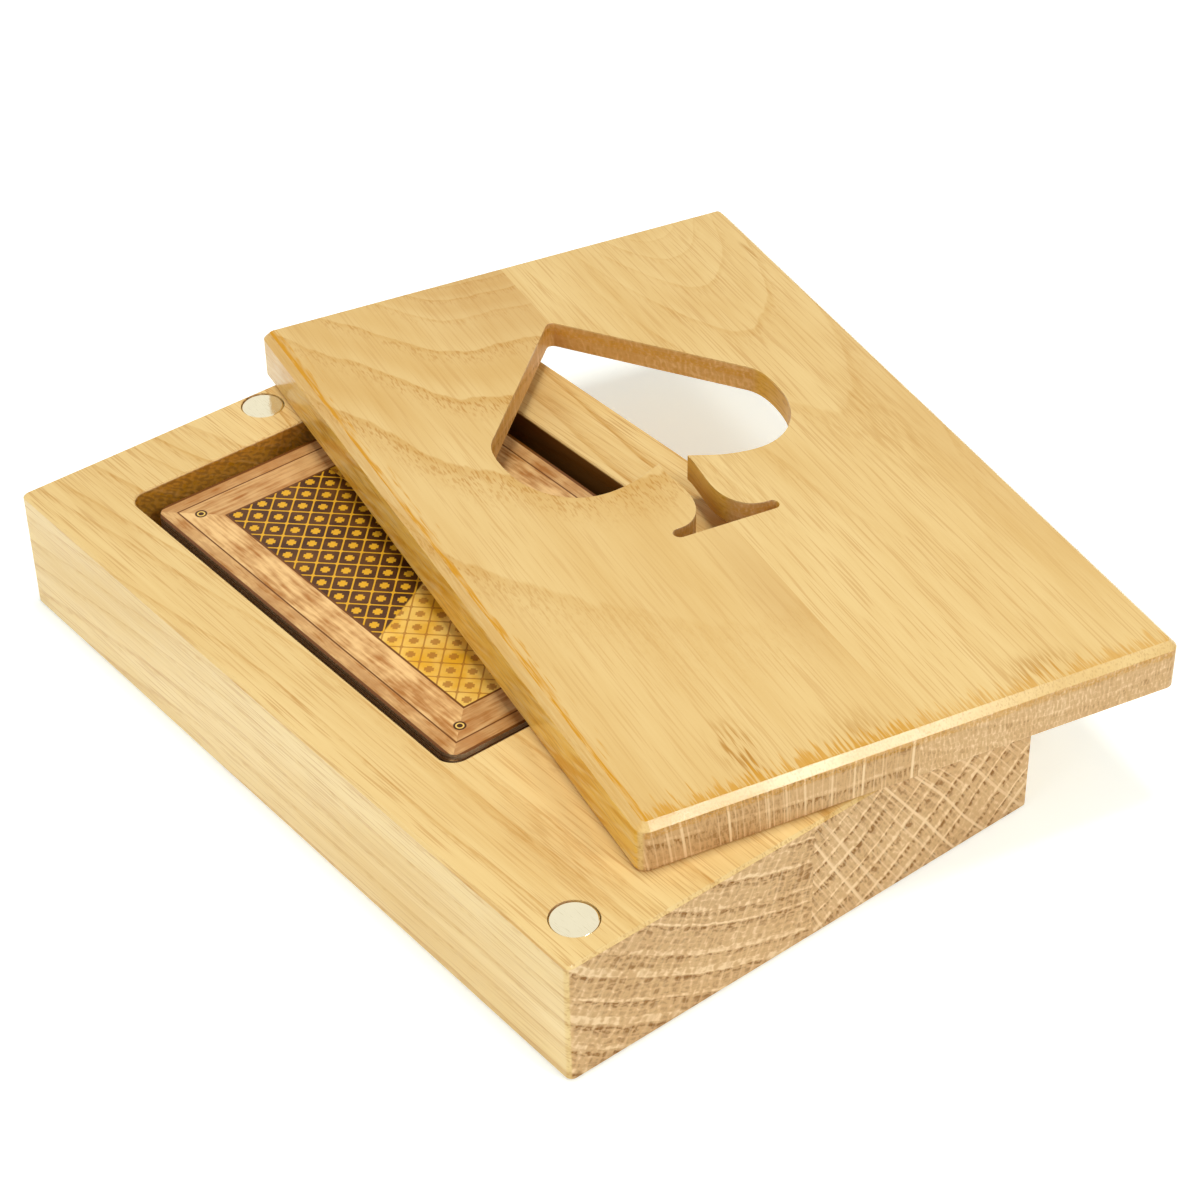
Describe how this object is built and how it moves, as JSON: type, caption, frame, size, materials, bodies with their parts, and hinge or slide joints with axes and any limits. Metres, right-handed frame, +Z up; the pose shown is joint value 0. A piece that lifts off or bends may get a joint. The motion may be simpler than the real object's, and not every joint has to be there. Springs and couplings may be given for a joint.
{
  "type": "wooden playing card case",
  "caption": "Flat oak case for playing cards: a glued-up base with a milled card pocket, and a loose, magnet-held lid with a spade-shaped window.",
  "frame": {"origin": "middle of the base's flat underside", "axes": "+Z up, +Y along the case towards its back end, +X to the right along the front end"},
  "size_m": [0.1508, 0.1735, 0.0333],
  "materials": {
    "base_oak_left": "satin",
    "base_oak_right": "satin",
    "lid_oak_left": "satin",
    "lid_oak_right": "satin",
    "nickel": "polished",
    "card_stock": "satin"
  },
  "bodies": {
    "base": {"base_left_stave": "base_oak_left", "base_right_stave": "base_oak_right", "base_magnet_front_left": "nickel", "base_magnet_front_right": "nickel", "base_magnet_back": "nickel"},
    "lid": {"lid_left_stave": "lid_oak_left", "lid_right_stave": "lid_oak_right", "lid_magnet_front_left": "nickel", "lid_magnet_front_right": "nickel", "lid_magnet_back": "nickel"},
    "deck": {"joker_cards": "card_stock", "club_cards": "card_stock", "diamond_cards": "card_stock", "heart_cards": "card_stock", "spade_cards": "card_stock"}
  },
  "joints": [
    {"name": "lid_swing", "type": "hinge", "parent": "base", "child": "lid", "pos_m": [0, -0.1675, 0.024], "axis": [0, 0, 1], "range_deg": [-4.4, 12.8]},
    {"name": "deck_lift", "type": "slide", "parent": "base", "child": "deck", "axis": [0, 0, 1], "range_m": [0, 0.0028]}
  ]
}
